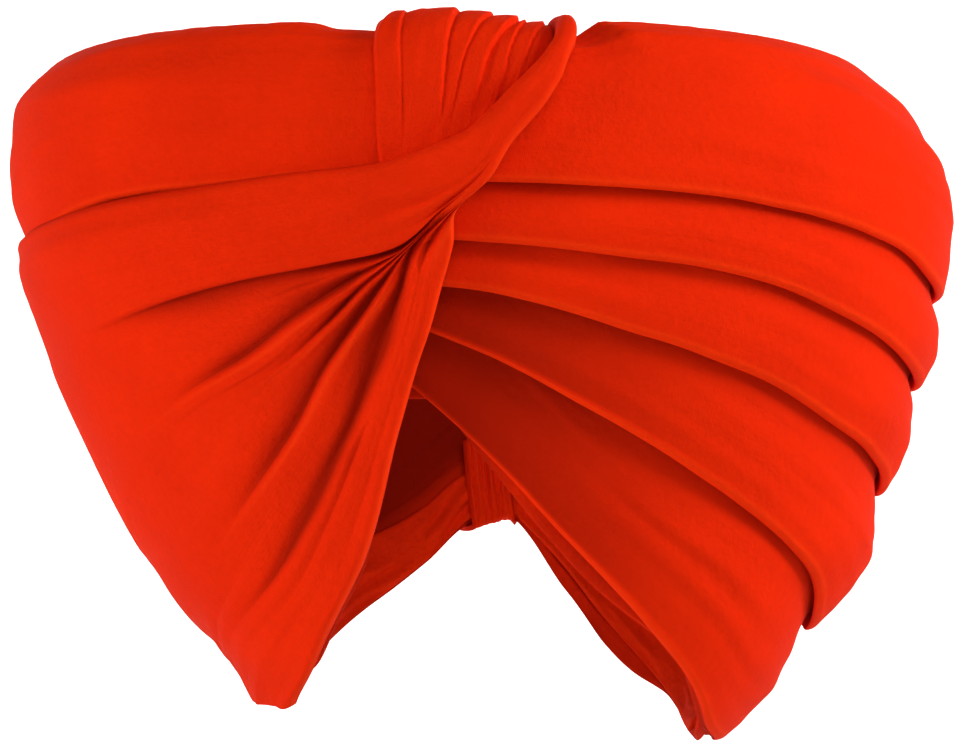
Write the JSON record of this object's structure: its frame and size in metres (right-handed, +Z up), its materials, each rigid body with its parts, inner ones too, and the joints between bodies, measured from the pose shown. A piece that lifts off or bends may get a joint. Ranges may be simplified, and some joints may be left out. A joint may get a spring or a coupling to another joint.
{
  "type": "pagri turban",
  "caption": "Wound cloth turban with overlapping folded turns, a gathered band that crosses the brow and fans over one side, and a pointed face opening.",
  "frame": {"origin": "underside of the crown cover over the middle of the head, where the head carries the wrap", "axes": "+Z up, -Y towards the brow, +X towards the wearer's left ear"},
  "size_m": [0.299, 0.2943, 0.2251],
  "materials": {
    "cloth": "matt red-orange cotton voile, wound and folded",
    "shaded_cloth": "the same voile inside the wrap and at the crown"
  },
  "bodies": {
    "root": {"inner_wrap": "shaded_cloth", "turn_1": "cloth", "turn_2": "cloth", "turn_3": "cloth", "turn_4": "cloth", "turn_5": "cloth", "crown_cover": "shaded_cloth", "front_tuck": "cloth", "fan_wrap": "cloth", "nape_band": "shaded_cloth", "back_tuck": "cloth"}
  },
  "joints": []
}
